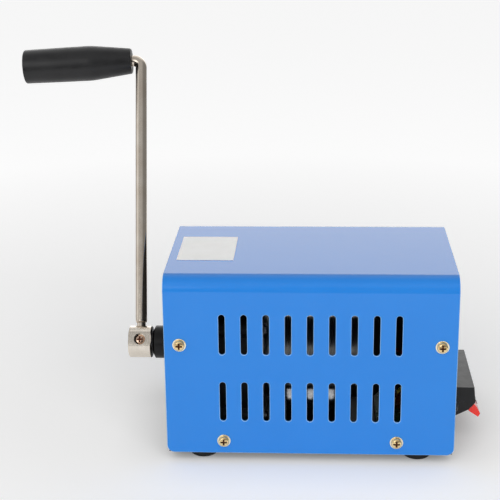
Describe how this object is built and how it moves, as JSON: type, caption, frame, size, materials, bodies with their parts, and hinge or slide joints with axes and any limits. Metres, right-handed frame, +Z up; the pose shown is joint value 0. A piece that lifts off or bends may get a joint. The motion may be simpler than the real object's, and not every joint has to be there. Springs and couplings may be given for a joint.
{
  "type": "hand crank generator",
  "caption": "Bench hand crank generator: a slotted sheet metal case with a bent crank on the left and a push terminal for output wires on the right.",
  "frame": {"origin": "on the ground, under the middle of the whole object's outline, crank included", "axes": "+X along the crank axis from the crank to the terminal block, +Y from the slotted front side to the slotted back side, +Z up"},
  "size_m": [0.2598, 0.148, 0.1978],
  "materials": {
    "cover_paint": "glossy light blue enamel",
    "chassis_paint": "satin black enamel",
    "yellow_zinc": "yellow passivated zinc plate",
    "label_film": "blank off-white film",
    "foot_rubber": "matt black rubber",
    "bright_zinc": "bright zinc plate",
    "satin_nickel": "satin nickel plate",
    "rod_nickel": "polished nickel plate",
    "copper_plate": "copper coloured plate",
    "grip_plastic": "satin black plastic",
    "black_enamel": "satin black enamel",
    "bronze": "oiled sintered bronze",
    "ground_steel": "ground steel",
    "gear_brass": "machined brass",
    "housing_cast": "black die casting",
    "lid_cast": "machined die casting",
    "can_steel": "drawn and plated steel",
    "ferrite": "dark sintered ferrite",
    "core_steel": "stacked electrical steel",
    "copper_wire": "enamelled copper wire",
    "carbon": "carbon",
    "bell_plastic": "dark grey moulded plastic",
    "tab_brass": "tinned brass",
    "board_green": "green solder mask",
    "component_black": "black moulding",
    "capacitor_sleeve": "dark blue sleeve",
    "choke_yellow": "yellow coated powder core",
    "red_wire": "red wire insulation",
    "black_wire": "black wire insulation",
    "block_plastic": "satin black moulding",
    "red_lever": "glossy red moulding",
    "black_lever": "glossy black moulding"
  },
  "bodies": {
    "case": {"top_cover": "cover_paint", "base_chassis": "chassis_paint", "cover_screws": "yellow_zinc", "cover_washers": "yellow_zinc", "blank_label": "label_film", "foot_front_left": "foot_rubber", "foot_front_right": "foot_rubber", "foot_back_left": "foot_rubber", "foot_back_right": "foot_rubber", "foot_screws": "bright_zinc", "foot_nuts": "bright_zinc", "bearing_nose": "black_enamel", "front_sleeve_bearing": "bronze", "rear_sleeve_bearing": "bronze", "gearbox_housing": "housing_cast", "gearbox_lid": "lid_cast", "gearbox_screws": "bright_zinc", "panel_screws": "bright_zinc", "first_gear_pin": "ground_steel", "second_gear_pin": "ground_steel", "generator_can": "can_steel", "field_magnets": "ferrite", "generator_bearings": "bright_zinc", "end_bell": "bell_plastic", "carbon_brushes": "carbon", "generator_tabs": "tab_brass", "generator_screws": "bright_zinc", "generator_saddle": "bright_zinc", "output_board": "board_green", "board_pillars": "tab_brass", "inner_screws": "bright_zinc", "rectifier": "component_black", "smoothing_capacitor": "capacitor_sleeve", "choke": "choke_yellow", "red_wires": "red_wire", "black_wires": "black_wire", "terminal_block": "block_plastic", "terminal_contacts": "tab_brass", "terminal_screws": "component_black", "terminal_nuts": "bright_zinc"},
    "crank": {"crank_hub": "satin_nickel", "hub_screw": "copper_plate", "crank_rod": "rod_nickel", "grip_retainer": "bright_zinc", "crank_shaft": "ground_steel", "crank_wheel": "gear_brass", "wheel_clip": "bright_zinc"},
    "grip": {"crank_grip": "grip_plastic", "grip_plug": "grip_plastic"},
    "first_gear": {"first_compound_gear": "gear_brass"},
    "second_gear": {"second_compound_gear": "gear_brass"},
    "rotor": {"rotor_pinion": "gear_brass", "rotor_shaft": "ground_steel", "rotor_core": "core_steel", "rotor_winding": "copper_wire", "commutator": "copper_plate"},
    "front_red_push": {"front_red_lever": "red_lever"},
    "front_black_push": {"front_black_lever": "black_lever"},
    "back_red_push": {"back_red_lever": "red_lever"},
    "back_black_push": {"back_black_lever": "black_lever"}
  },
  "joints": [
    {"name": "crank_turn", "type": "hinge", "parent": "case", "child": "crank", "pos_m": [-0.05471, -0.02335, 0.048], "axis": [1, 0, 0], "continuous": true},
    {"name": "grip_spin", "type": "hinge", "parent": "crank", "child": "grip", "pos_m": [-0.0611, 0.06476, 0.18901], "axis": [-0.9984, -0.0296, -0.0473], "continuous": true},
    {"name": "first_gear_turn", "type": "hinge", "parent": "case", "child": "first_gear", "pos_m": [-0.02541, -0.02335, 0.0256], "axis": [1, 0, 0], "continuous": true},
    {"name": "second_gear_turn", "type": "hinge", "parent": "case", "child": "second_gear", "pos_m": [-0.01341, -0.0074, 0.03573], "axis": [1, 0, 0], "continuous": true},
    {"name": "rotor_turn", "type": "hinge", "parent": "case", "child": "rotor", "pos_m": [0.01439, -0.02335, 0.041], "axis": [1, 0, 0], "continuous": true},
    {"name": "front_red_press", "type": "hinge", "parent": "case", "child": "front_red_push", "pos_m": [0.12186, -0.0421, 0.0245], "axis": [0, 1, 0], "range_deg": [-10, 0], "stiffness_Nm_per_rad": 0.08, "springref_deg": 8.59},
    {"name": "front_black_press", "type": "hinge", "parent": "case", "child": "front_black_push", "pos_m": [0.12186, -0.0296, 0.0245], "axis": [0, 1, 0], "range_deg": [-10, 0], "stiffness_Nm_per_rad": 0.08, "springref_deg": 8.59},
    {"name": "back_red_press", "type": "hinge", "parent": "case", "child": "back_red_push", "pos_m": [0.12186, -0.0171, 0.0245], "axis": [0, 1, 0], "range_deg": [-10, 0], "stiffness_Nm_per_rad": 0.08, "springref_deg": 8.59},
    {"name": "back_black_press", "type": "hinge", "parent": "case", "child": "back_black_push", "pos_m": [0.12186, -0.0046, 0.0245], "axis": [0, 1, 0], "range_deg": [-10, 0], "stiffness_Nm_per_rad": 0.08, "springref_deg": 8.59}
  ],
  "couplings": [
    {"joint": "first_gear_turn", "follows": "crank_turn", "ratio": -3},
    {"joint": "second_gear_turn", "follows": "crank_turn", "ratio": 8.5714},
    {"joint": "rotor_turn", "follows": "crank_turn", "ratio": -25.714}
  ]
}
